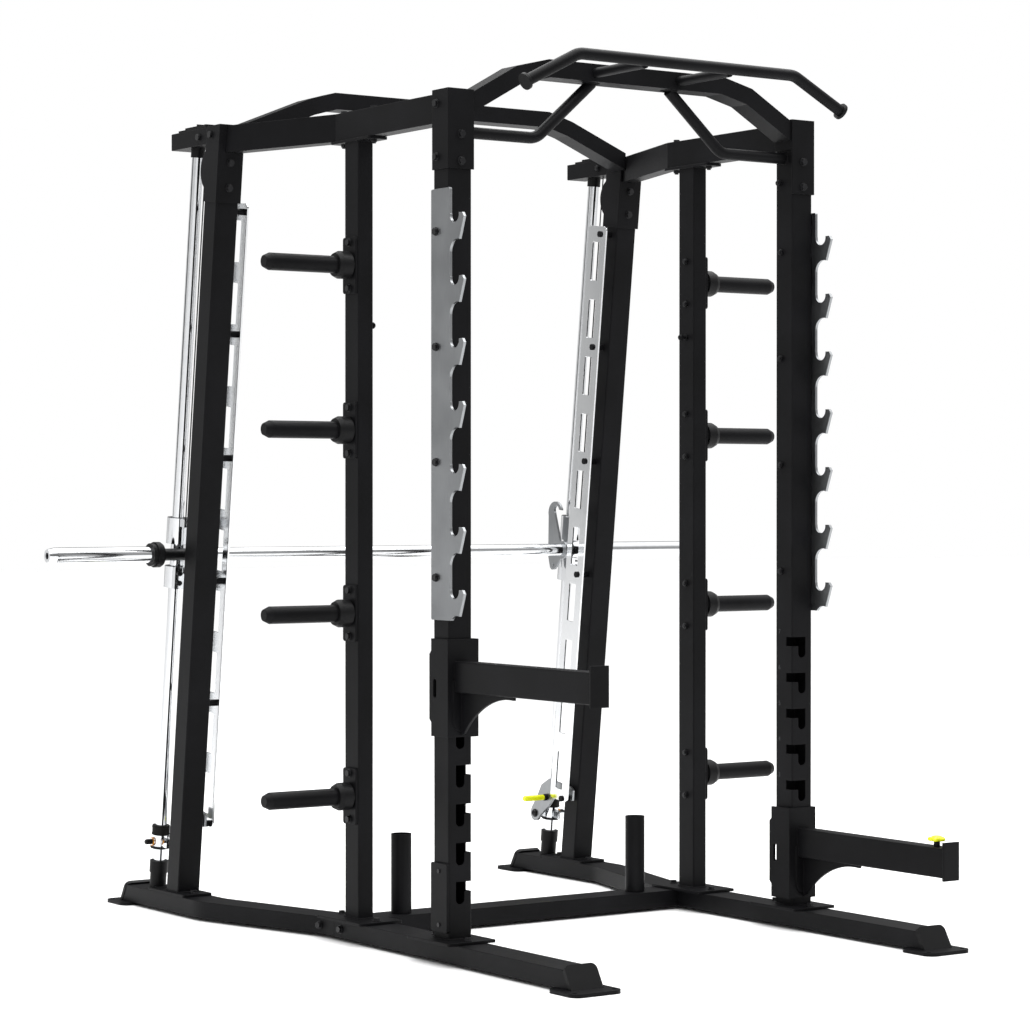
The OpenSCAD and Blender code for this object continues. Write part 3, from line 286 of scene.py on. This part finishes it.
# %% Finishes of the fixed nodes
FINISHES = {
    black_coat: ["front_runners", "rear_runners", "cross_member", "foot_plates", "bar_holders",
                 "front_upright_left", "front_upright_right", "mid_uprights", "rod_upright_left",
                 "rod_upright_right", "top_beams", "rear_crossbar", "front_crossbeam", "pull_up_bar",
                 "inner_grips", "rod_beams", "catch_pegs", "plate_horns", "horn_plates", "band_pegs",
                 "upright_guard", "top_brackets", "spotter_left", "spotter_right"],
    black_plastic: ["foot_caps", "bar_end_caps", "rod_cups", "horn_collars", "bar_collars",
                    "lock_knob_left", "lock_knob_right", "sheave_front_left", "sheave_front_right",
                    "sheave_rear_left", "sheave_rear_right"],
    rubber: ["stop_cushion_left", "stop_cushion_right"],
    chrome: ["guide_rods", "carriage_left", "carriage_right", "bar_sleeves", "stop_left", "stop_right"],
    bar_finish: ["bar_shaft"],
    hook_steel: ["rack_hook_plates", "bar_hooks", "latch_left", "latch_right"],
    catch_steel: ["catch_plates"],
    bolt_steel: ["base_bolts", "frame_bolts", "plate_bolts", "carriage_bolts", "linear_bearings"],
    weight_steel: ["counterweight_left", "counterweight_right"],
    grip_yellow: ["latch_handle_left", "latch_handle_right", "spotter_knob"],
    cable_jacket: ["lift_cables"],
}


def dress(obj, material):
    obj.data.materials.clear()
    obj.data.materials.append(material)


for material, names in FINISHES.items():
    for name in names:
        dress(nodes[name], material)
left_out = set(nodes) - {name for names in FINISHES.values() for name in names}
print("nodes without a finish", sorted(left_out))

# %% [markdown]
# New pieces are built from points and faces. Two shapes cover most metal work: a bar or bead
# that follows a line, and a turned shape that goes round an axis. Both are written with
# bmesh, so that the walls, the ends and the roundings are all real geometry.

# %% Mesh helpers


def finished(mesh_data, name, material, body, smooth_angle=math.radians(40)):
    bmesh.ops.remove_doubles(mesh_data, verts=mesh_data.verts, dist=1e-6)
    bmesh.ops.recalc_face_normals(mesh_data, faces=mesh_data.faces)
    for edge in mesh_data.edges:
        edge.smooth = len(edge.link_faces) == 2 and edge.calc_face_angle(0) < smooth_angle
    for face in mesh_data.faces:
        face.smooth = True
    mesh = bpy.data.meshes.new(name)
    mesh_data.to_mesh(mesh)
    mesh_data.free()
    obj = bpy.data.objects.new(name, mesh)
    bpy.context.scene.collection.objects.link(obj)
    dress(obj, material)
    if body:
        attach(obj, body)
    return obj


def rounded_line(points, bend, steps=10):
    line = [points[0]]
    for before, corner, after in zip(points, points[1:], points[2:]):
        a, b = (before - corner).normalized(), (after - corner).normalized()
        half = a.angle(b) / 2
        cut = bend / math.tan(half)
        centre = corner + (a + b).normalized() * bend / math.sin(half)
        start, end = corner + a * cut - centre, corner + b * cut - centre
        line += [centre + start.slerp(end, i / steps).normalized() * bend for i in range(steps + 1)]
    return line + [points[-1]]


def sweep(bm, line, radius, sides=20, closed=False):
    """A round bar along a line; radius is a number or a function of the step."""
    count = len(line)
    rings = []
    side = None
    for i, point in enumerate(line):
        ahead = line[(i + 1) % count] if closed or i < count - 1 else point
        behind = line[i - 1] if closed or i > 0 else point
        along = (ahead - behind).normalized()
        if side is None:
            side = along.orthogonal().normalized()
        side = (side - along * side.dot(along)).normalized()
        up = along.cross(side)
        r = radius(i) if callable(radius) else radius
        rings.append([bm.verts.new(point + (side * math.cos(t) + up * math.sin(t)) * r)
                      for t in (2 * math.pi * k / sides for k in range(sides))])
    for i in range(count if closed else count - 1):
        a, b = rings[i], rings[(i + 1) % count]
        for k in range(sides):
            bm.faces.new((a[k], a[(k + 1) % sides], b[(k + 1) % sides], b[k]))
    if not closed:
        bm.faces.new(rings[0][::-1])
        bm.faces.new(rings[-1])


def turned(bm, profile, origin, axis, sides=40, wave=None):
    """A turned shape. profile is (radius, height) in mm, and wave gives a lobe factor by angle."""
    turn = Vector((0, 0, 1)).rotation_difference(axis).to_matrix()
    rings = []
    for r, h in profile:
        ring = []
        for k in range(sides):
            t = 2 * math.pi * k / sides
            reach = r * (wave(t, r) if wave else 1.0) * MM
            place = Vector((reach * math.cos(t), reach * math.sin(t), h * MM))
            ring.append(bm.verts.new(origin + turn @ place))
        rings.append(ring)
    closed = profile[0] == profile[-1]
    for a, b in zip(rings, rings[1:]):
        for k in range(sides):
            bm.faces.new((a[k], a[(k + 1) % sides], b[(k + 1) % sides], b[k]))
    if not closed:
        bm.faces.new(rings[0][::-1])
        bm.faces.new(rings[-1])


print("helpers ready")

# %% [markdown]
# The pull-up bar is one length of 33 mm tube, bent down at both ends on a tube bender, whose
# former leaves an even radius of about 70 mm. Two short tubes weld it to the arch. A sweep
# along a line with rounded corners gives the same smooth bend.

# %% Pull-up bar
PULL_Y, PULL_Z, PULL_R = -235, 2470, 16.5
PULL_BEND_X, PULL_END_X, PULL_DROP = 379, 544, 84
PULL_BEND_R = 0.07
STAY_X, STAY_R, STAY_DROP = 149, 0.014, 8
bar_line = ((-PULL_END_X, PULL_Z - PULL_DROP), (-PULL_BEND_X, PULL_Z),
            (PULL_BEND_X, PULL_Z), (PULL_END_X, PULL_Z - PULL_DROP))
bar_points = [rack(x, PULL_Y, z) for x, z in bar_line]
bm = bmesh.new()
sweep(bm, rounded_line(bar_points, PULL_BEND_R), PULL_R * MM, 28)
for x in (-STAY_X, STAY_X):
    stay_z = PULL_Z - STAY_DROP
    sweep(bm, [rack(x, PULL_Y + 6, stay_z), rack(x, 0, stay_z)], STAY_R, 24)
pull_up = finished(bm, "bent_pull_up_bar", black_coat, "root")
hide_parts("pull_up_bar")
print("pull-up bar", len(pull_up.data.vertices), "points")

# %% [markdown]
# The two inner grip bars leave the uprights level, then rise to the front arch. They are bent
# from the same tube. Each end is welded, so a bead of weld closes the joint.

# %% Inner grip bars
GRIP_Z = 2270
ARCH_UNDER = 2438
GRIP_BEND_X, GRIP_BEND_R = 330, 0.06
GRIP_IN, GRIP_UP = 208, 182
bm = bmesh.new()
grip_ends = []
for s in (-1, 1):
    rise = (ARCH_UNDER - GRIP_Z) / GRIP_UP
    top = rack(s * (GRIP_BEND_X - GRIP_IN * rise), POST / 2, ARCH_UNDER)
    points = [rack(s * (RACK_X - POST / 2), POST / 2, GRIP_Z), rack(s * GRIP_BEND_X, POST / 2, GRIP_Z), top]
    sweep(bm, rounded_line(points, GRIP_BEND_R), PULL_R * MM, 28)
    grip_ends.append((points[0], Vector((1, 0, 0)), top, (points[2] - points[1]).normalized()))
grips = finished(bm, "bent_inner_grips", black_coat, "root")
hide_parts("inner_grips")
print("grip bars reach", [round(v, 3) for v in grip_ends[1][2]])

# %% [markdown]
# A weld bead is metal that was laid down drop by drop, so it is a small fillet with ripples
# across it about every 4 mm. Each bead is a closed sweep round the foot of a tube, whose
# radius rises and falls from step to step. Paint covers it, so it takes the same finish.

# %% Weld beads
BEAD_R = 3.2
RIPPLE_MM = 4.0
RIPPLE_DEPTH = 0.13
RING_STEPS = 52
PLATE_TOP = 58
MID_POST_Y, MID_POST_W = 524.5, 50
ROD_POST_FRONT, ROD_POST_REAR = -199, -124


def outline(corners, step=RIPPLE_MM / 2):
    line = []
    for a, b in zip(corners, corners[1:] + corners[:1]):
        count = max(2, round((b - a).length / (step * MM)))
        line += [a.lerp(b, i / count) for i in range(count)]
    return line


def ripple(i):
    return BEAD_R * MM * (1.0 + RIPPLE_DEPTH * math.cos(math.pi * i))


bm = bmesh.new()
beads = 0
for s in (-1, 1):
    for y, w in ((POST / 2, POST), (MID_POST_Y, MID_POST_W)):
        box = [rack(s * RACK_X + i * w / 2, y + j * POST / 2, PLATE_TOP)
               for i, j in ((-1, -1), (1, -1), (1, 1), (-1, 1))]
        sweep(bm, outline(box), ripple, 8, True)
        beads += 1
    foot = [(-1, ROD_POST_FRONT), (1, ROD_POST_FRONT), (1, ROD_POST_REAR), (-1, ROD_POST_REAR)]
    slope = [rods(s * SMITH_X + i * POST / 2, y, (PLATE_TOP - y * math.sin(LEAN)) / math.cos(LEAN))
             for i, y in foot]
    sweep(bm, outline(slope), ripple, 8, True)
    for end in (0, 2):
        centre, axis = grip_ends[(s + 1) // 2][end], grip_ends[(s + 1) // 2][end + 1]
        flat = axis.orthogonal().normalized()
        other = axis.cross(flat)
        if end == 2:
            flat, other = Vector((1 / abs(axis.z), 0, 0)), Vector((0, 1, 0))
        ring = [centre + (flat * math.cos(t) + other * math.sin(t)) * PULL_R * MM
                for t in (2 * math.pi * k / RING_STEPS for k in range(RING_STEPS))]
        sweep(bm, ring, ripple, 8, True)
    beads += 3
finished(bm, "weld_beads", black_coat, "root")
print("weld beads", beads)

# %% [markdown]
# Each lift cable is a 4 mm steel rope in a black jacket. It rises from the carriage, goes
# over two sheaves in the top of the frame and runs down inside the upright to a
# counterweight. The parts over the sheaves belong to the frame. The two straight runs
# change length as the carriage moves; here each is a fixed straight piece that is not
# attached to the carriage or the weight.

# %% Lift cables
CABLE_Y, DROP_Y = -50, -168
SHEAVE_PITCH = 18
REAR_Y, FRONT_Y = CABLE_Y - SHEAVE_PITCH, DROP_Y + SHEAVE_PITCH
SHEAVE_LEVEL = 2352
CABLE_LOW, WEIGHT_TOP = 1207, 1539
CABLE_R = 2.0


def sheave_at(y):
    return (SHEAVE_LEVEL - y * math.sin(LEAN)) / math.cos(LEAN)


def over(x, y, start, end, steps=14):
    turns = [math.radians(start + (end - start) * k / steps) for k in range(steps + 1)]
    return [rods(x, y + SHEAVE_PITCH * math.cos(t), sheave_at(y) + SHEAVE_PITCH * math.sin(t)) for t in turns]


def run(a, b, steps=24):
    return [a.lerp(b, k / steps) for k in range(steps + 1)]


for side, s in (("left", -1), ("right", 1)):
    x = s * SMITH_X
    tilt = 90 - math.degrees(LEAN)
    arcs = over(x, REAR_Y, 0, tilt) + over(x, FRONT_Y, tilt, 180)
    bm = bmesh.new()
    sweep(bm, arcs, CABLE_R * MM, 12)
    finished(bm, "cable_over_sheaves_" + side, cable_jacket, "root")
    runs = (("cable_to_carriage_", arcs[0], rods(x, CABLE_Y, CABLE_LOW), "carriage"),
            ("cable_to_weight_", arcs[-1], rods(x, DROP_Y, WEIGHT_TOP), side + "_weight"))
    for name, top, low, body in runs:
        bm = bmesh.new()
        sweep(bm, run(top, low), CABLE_R * MM, 12)
        piece = finished(bm, name + side, cable_jacket, None)
        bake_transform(piece)
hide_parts("lift_cables")

# %% [markdown]
# The safety stop has a spring lock pin with a black knob. A turned brass collar with a small
# lip carries the pin, and a black O-ring seals the rubber cushion on its steel seat. Thin
# rings like these are turned shapes: a closed profile that goes once round an axis.

# %% Rings on the stops
STOP_LOW, STOP_H, STOP_R = 177, 43, 25
SEAT_GAP, RIB_STEP = 1.6, 22
KNOB_W = STOP_LOW + 22
for side, s in (("left", -1), ("right", 1)):
    out = Vector((s, 0, 0))
    bm = bmesh.new()
    seat = rods(s * (SMITH_X + STOP_R + SEAT_GAP), 0, KNOB_W)
    turned(bm, [(9.8, 0), (12.6, 0), (13.4, 0.8), (13.4, 3.2), (12.6, 4.0), (9.8, 4.0), (9.8, 0)], seat, out)
    finished(bm, "brass_collar_" + side, brass, side + "_stop")
    bm = bmesh.new()
    low = rods(s * SMITH_X, 0, STOP_LOW + STOP_H)
    ring = [(27.05, 1.0), (28.2, 1.4), (28.8, 2.6), (28.2, 3.8), (27.05, 4.2), (27.05, 1.0)]
    turned(bm, ring, low, UP_RODS)
    turned(bm, [(r, h + RIB_STEP) for r, h in ring], low, UP_RODS)
    finished(bm, "cushion_ribs_" + side, rubber, side + "_stop")
    bm = bmesh.new()
    base = rods(s * SMITH_X, 0, STOP_LOW)
    band = [(27.05, 0.6), (29.6, 0.6), (30.2, 1.6), (30.2, 6.4), (29.6, 7.4), (27.05, 7.4), (27.05, 0.6)]
    turned(bm, band, base, UP_RODS)
    finished(bm, "stop_band_" + side, black_plastic, side + "_stop")
print("stop rings at", round(KNOB_W), "mm up the rods")

# %% [markdown]
# The right spotter arm has a yellow clamping knob with five lobes, moulded round a threaded
# stem. The lobes are a wave on a turned shape, strongest at the widest rings, with a rounded
# rim so that the light runs over each lobe.

# %% Five-lobed knob
ARM_KNOB_Y = -585
LOBES, LOBE_DEPTH = 5, 0.15
ROUND_R, GROWTH_MM = 13, 8
knob_low, knob_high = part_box("spotter_knob")
centre = Vector((RACK_X * MM, rack(0, ARM_KNOB_Y, 0).y, knob_low.z))


def lobes(t, r):
    growth = min(1.0, max(0.0, (r - ROUND_R) / GROWTH_MM))
    return 1.0 + LOBE_DEPTH * math.cos(LOBES * t) * growth


bm = bmesh.new()
turned(bm, [(9.0, 0.05), (9.0, 14.2)], centre, Vector((0, 0, 1)), 40)
finished(bm, "knob_stem", black_plastic, "arm_knob")
bm = bmesh.new()
head = [(9.5, 14), (15, 14.4), (20, 15.2), (22.3, 17.2), (23, 20), (22.5, 23), (20.5, 25.4), (17, 26.8),
        (14, 27.6), (12, 29.2), (9, 30)]
turned(bm, head, centre, Vector((0, 0, 1)), 120, lobes)
knob = finished(bm, "star_knob", grip_yellow, "arm_knob")
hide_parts("spotter_knob")
print("knob height", round((knob_high.z - knob_low.z) / MM, 1), "mm")

# %% [markdown]
# Each latch swings on a shoulder bolt with a black button head, and its yellow grip has a
# black bush where it meets the plate. The end of each bar sleeve is closed by a socket
# screw, deep in its hollow. All are turned shapes with a chamfer at every rim.

# %% Latch bolts, grip bushes and sleeve screws
LATCH_FACE = 692
LATCH_PIVOT, LATCH_GRIP = (17, 196.5), (-40, 262)
SLEEVE_HOLLOW, BAR_PLACE = 1190, (-50, 1105)
for side, s in (("left", -1), ("right", 1)):
    inward = Vector((-s, 0, 0))
    bm = bmesh.new()
    button = [(14, 0.2), (14, 1.8), (11.5, 1.8), (11.5, 5.0), (10.4, 7.2), (7.5, 8.6), (5.2, 8.9),
              (5.0, 6.0), (4.4, 5.8)]
    turned(bm, button, rods(s * LATCH_FACE, *LATCH_PIVOT), inward)
    finished(bm, "latch_bolt_" + side, bolt_steel, side + "_stop")
    bm = bmesh.new()
    bush = [(7.1, 0.3), (10.6, 0.3), (11.4, 1.2), (11.4, 8.6), (10.4, 9.8), (7.1, 9.8), (7.1, 0.3)]
    turned(bm, bush, rods(s * LATCH_FACE, *LATCH_GRIP), inward)
    finished(bm, "grip_bush_" + side, black_plastic, side + "_latch")
    bm = bmesh.new()
    screw = [(9.4, 0), (9.4, 5.0), (8.6, 5.8), (5.2, 5.8), (4.8, 2.0), (4.0, 1.8)]
    turned(bm, screw, rods(s * SLEEVE_HOLLOW, *BAR_PLACE), Vector((s, 0, 0)))
    finished(bm, "sleeve_screw_" + side, bolt_steel, "bar")
print("latch face at", LATCH_FACE, "mm")

# %% [markdown]
# The guide rod beams are rectangular tubes, closed at the back by a moulded plug with a
# rounded rim. A plug is a thin block over the tube's end, at the level of the sheaves.

# %% Beam plugs
PLUG_SIZE = (0.0752, 0.003, 0.0502)
PLUG_RIM = 0.0011
bm = bmesh.new()
beam_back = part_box("rod_beams")[1].y
for s in (-1, 1):
    shape = bmesh.ops.create_cube(bm, size=1.0)
    middle = Vector((s * SMITH_X * MM, beam_back + PLUG_SIZE[1] / 2, rack(0, 0, SHEAVE_LEVEL).z))
    bmesh.ops.scale(bm, vec=PLUG_SIZE, verts=shape["verts"])
    bmesh.ops.translate(bm, vec=middle, verts=shape["verts"])
bmesh.ops.bevel(bm, geom=bm.edges[:], offset=PLUG_RIM, segments=3, affect="EDGES")
plugs = finished(bm, "beam_plugs", black_plastic, "root")
print("plugs", len(plugs.data.polygons), "faces")

# %% [markdown]
# The numbers beside the spotter slots tell a lifter that both arms hang at the same height.
# They are pad printed in grey, so each is a thin raised shape on the inner face. One font
# curve per number is turned into a mesh and copied to both uprights.

# %% Slot numbers
printed = moulded("grey pad print", "#3c3c3e", "#48484a", 0.5, 1.5, 0.02)
SLOT_TOP, SLOT_STEP, SLOTS = 791.5, 106.3, 7
DIGIT_SIZE, DIGIT_T = 0.019, 0.00015
DIGIT_Y, DIGIT_ABOVE, PRINT_GAP = 58, 76, 0.15
bm = bmesh.new()
for k in range(SLOTS):
    text = bpy.data.curves.new("digit", "FONT")
    text.body = str(SLOTS - k)
    text.size = DIGIT_SIZE
    text.extrude = DIGIT_T
    text.align_x = text.align_y = "CENTER"
    holder = bpy.data.objects.new("digit", text)
    mesh = bpy.data.meshes.new_from_object(holder)
    for s in (-1, 1):
        level = SLOT_TOP - SLOT_STEP * k + DIGIT_ABOVE
        place_at = rack(s * (RACK_X - POST / 2 - PRINT_GAP), DIGIT_Y, level)
        facing = Matrix(((0, 0, -s), (-s, 0, 0), (0, 1, 0))).to_4x4()
        copy = mesh.copy()
        copy.transform(Matrix.Translation(place_at) @ facing)
        bm.from_mesh(copy)
        bpy.data.meshes.remove(copy)
    bpy.data.objects.remove(holder)
finished(bm, "slot_numbers", printed, "root", math.radians(20))
print("digits", 2 * SLOTS)

# %% [markdown]
# The machine stands in a white studio. The floor is matt and pale, and reaches far enough
# that no edge shows from any side.

# %% Floor
bm = bmesh.new()
FLOOR = 40.0
corners = [bm.verts.new((i * FLOOR, j * FLOOR, 0)) for i, j in ((-1, -1), (1, -1), (1, 1), (-1, 1))]
bm.faces.new(corners)
floor_mesh = bpy.data.meshes.new("floor")
bm.to_mesh(floor_mesh)
bm.free()
floor = bpy.data.objects.new("floor", floor_mesh)
bpy.context.scene.collection.objects.link(floor)
paint, tree, surface, place = new_material("matt white studio floor")
speckle = add(tree, "ShaderNodeTexNoise", Vector=place, Scale=3.0)
shade = add(tree, "ShaderNodeMapRange", Value=speckle.outputs[0], To_Min=0.9, To_Max=0.94)
tree.links.new(shade.outputs[0], surface.inputs["Base Color"])
set_all(surface, Roughness=0.9, Specular_IOR_Level=0.1)
dress(floor, paint)
print("floor", 2 * FLOOR, "m wide")

# %% [markdown]
# Chrome and black paint look like what they reflect. The surroundings are bright overhead,
# which whitens the floor, and hold soft bright and dark bands round the horizon. The dark
# bands give chrome its dark streaks and keep the black tubes black. The plain background is
# the same world as a white backdrop would show it.

# %% Surroundings
world = bpy.data.worlds.new("studio")
bpy.context.scene.world = world
world.use_nodes = True
tree = world.node_tree
tree.nodes.clear()
direction = add(tree, "ShaderNodeTexCoord").outputs["Generated"]
xyz = add(tree, "ShaderNodeSeparateXYZ", Vector=direction)
turn = add(tree, "ShaderNodeMath", {"operation": "ARCTAN2"}, i0=xyz.outputs[1], i1=xyz.outputs[0])
turn01 = add(tree, "ShaderNodeMapRange", Value=turn.outputs[0], From_Min=-math.pi, From_Max=math.pi)
bands = add(tree, "ShaderNodeValToRGB", i0=turn01.outputs[0])
ramp = bands.color_ramp
ramp.interpolation = "EASE"
# (share of the turn, brightness), from the -X direction round through -Y, +X and +Y
LEVELS = [(0.0, 1.0), (0.06, 0.8), (0.12, 1.1), (0.20, 0.9), (0.255, 0.22), (0.29, 0.5), (0.37, 0.55),
          (0.42, 1.1), (0.52, 1.2), (0.60, 0.85), (0.65, 0.15), (0.69, 0.12), (0.74, 0.9), (0.835, 1.15),
          (0.849, 1.0), (0.855, 0.10), (0.90, 0.12), (0.935, 0.95), (1.0, 1.0)]
while len(ramp.elements) < len(LEVELS):
    ramp.elements.new(0.5)
for element, (at, level) in zip(ramp.elements, LEVELS):
    element.position = at
    element.color = (level, level, level, 1)
high = add(tree, "ShaderNodeMapRange", {"interpolation_type": "SMOOTHSTEP"}, Value=xyz.outputs[2],
           From_Min=0.35, From_Max=0.75)
sky = add(tree, "ShaderNodeMix", {"data_type": "RGBA"}, i0=high.outputs[0], i6=bands.outputs[0],
          i7=(1.9, 1.9, 1.9, 1))
lit = add(tree, "ShaderNodeBackground", Color=sky.outputs[2], Strength=0.75)
plain = add(tree, "ShaderNodeBackground", Color=(1, 1, 1, 1), Strength=1.0)
ray = add(tree, "ShaderNodeLightPath")
mixed = add(tree, "ShaderNodeMixShader", i0=ray.outputs["Is Camera Ray"], i1=lit.outputs[0],
            i2=plain.outputs[0])
add(tree, "ShaderNodeOutputWorld", Surface=mixed.outputs[0])
print("bands", len(LEVELS))

# %% [markdown]
# One very large softbox hangs above. It lights tops and the floor, and leaves upright faces
# to the surroundings, as a white product studio does.

# %% Softbox
light = bpy.data.lights.new("overhead softbox", "AREA")
light.shape = "RECTANGLE"
light.size, light.size_y = 7.0, 7.0
light.energy = 520
lamp = bpy.data.objects.new("overhead softbox", light)
lamp.location = (0.5, 0.2, 6.0)
bpy.context.scene.collection.objects.link(lamp)
print("softbox", light.size, "m")

# %% [markdown]
# The camera looks at the rack's left front corner from about chest height and nine metres
# away, with a long lens, so upright lines stay upright.

# %% Camera
camera_data = bpy.data.cameras.new("camera")
camera_data.sensor_width = 36.0
camera_data.lens = 104.96
PITCH_DOWN, YAW_RIGHT = 0.33, 34.73
camera_data.clip_end = 200.0
camera = bpy.data.objects.new("camera", camera_data)
camera.location = (-5.1605, -7.3571, 1.2756)
camera.rotation_euler = (math.radians(90 - PITCH_DOWN), 0, math.radians(-YAW_RIGHT))
bpy.context.scene.collection.objects.link(camera)
bpy.context.scene.camera = camera
bpy.context.scene.view_settings.view_transform = "Standard"
print("lens", camera_data.lens, "mm")
